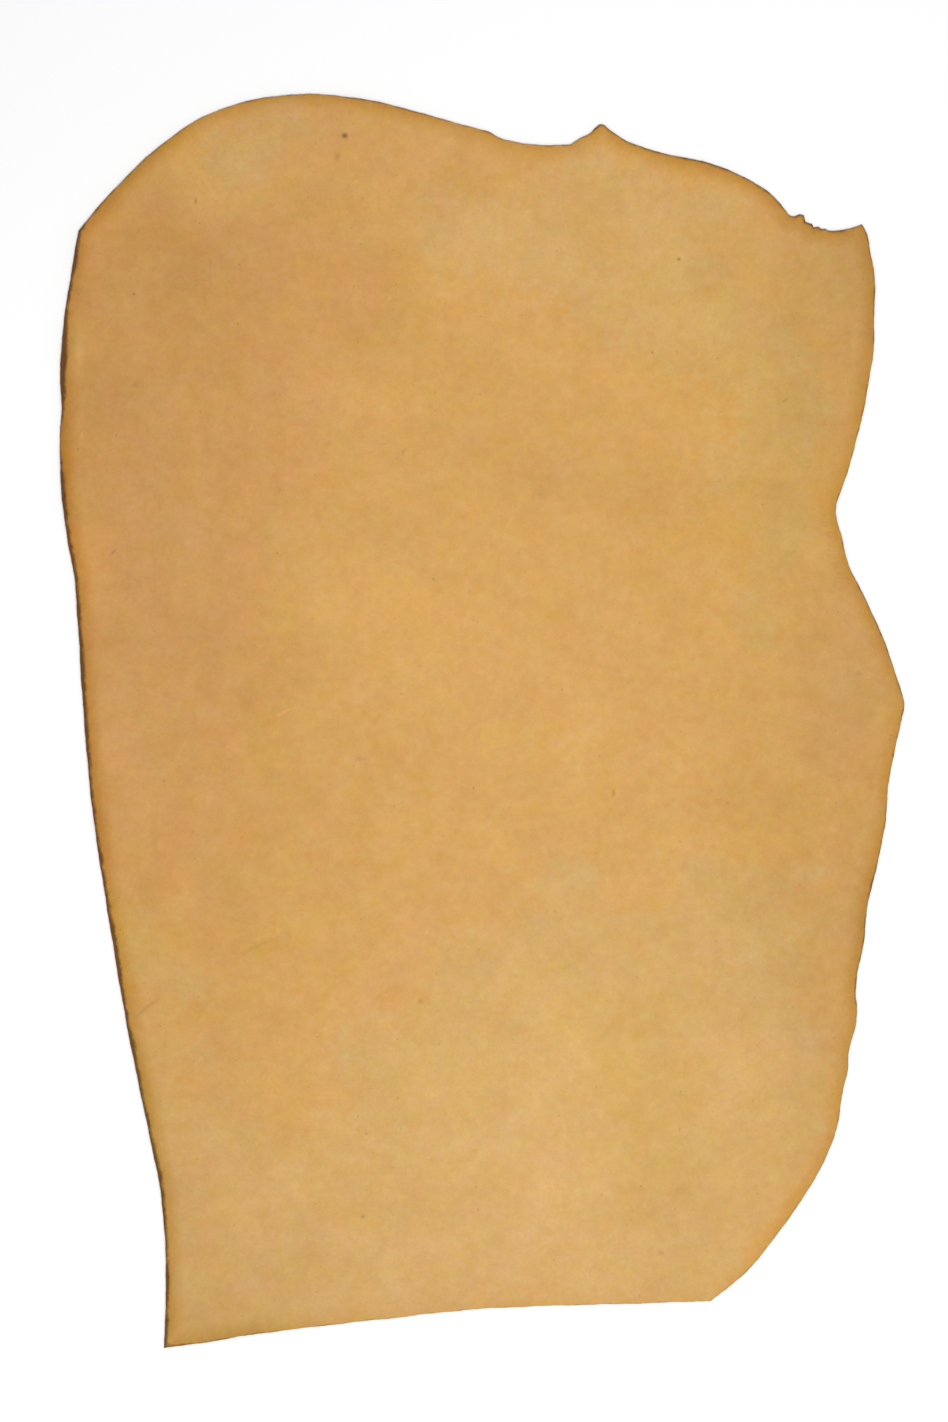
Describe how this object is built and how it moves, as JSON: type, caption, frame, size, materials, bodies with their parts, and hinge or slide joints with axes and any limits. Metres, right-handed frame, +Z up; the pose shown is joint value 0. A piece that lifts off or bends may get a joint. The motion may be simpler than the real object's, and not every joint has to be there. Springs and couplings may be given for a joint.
{
  "type": "calf leather hide",
  "caption": "Vegetable-tanned calf leather side, grain face up, with a straight backbone edge, a rounded rump, a tail notch, a torn shank end, a waist, a belly bulge and a straight neck cut",
  "frame": {"origin": "on the floor, under the middle of the hide's outline", "axes": "+X from the backbone edge to the belly, +Y from the neck cut to the rump, +Z up out of the grain face"},
  "size_m": [0.844, 1.253, 0.0096],
  "materials": {
    "leather": "natural vegetable-tanned grain, smooth and dull, with faint mottling, small scars and browned edges"
  },
  "bodies": {
    "root": {"hide": "leather"}
  },
  "joints": []
}
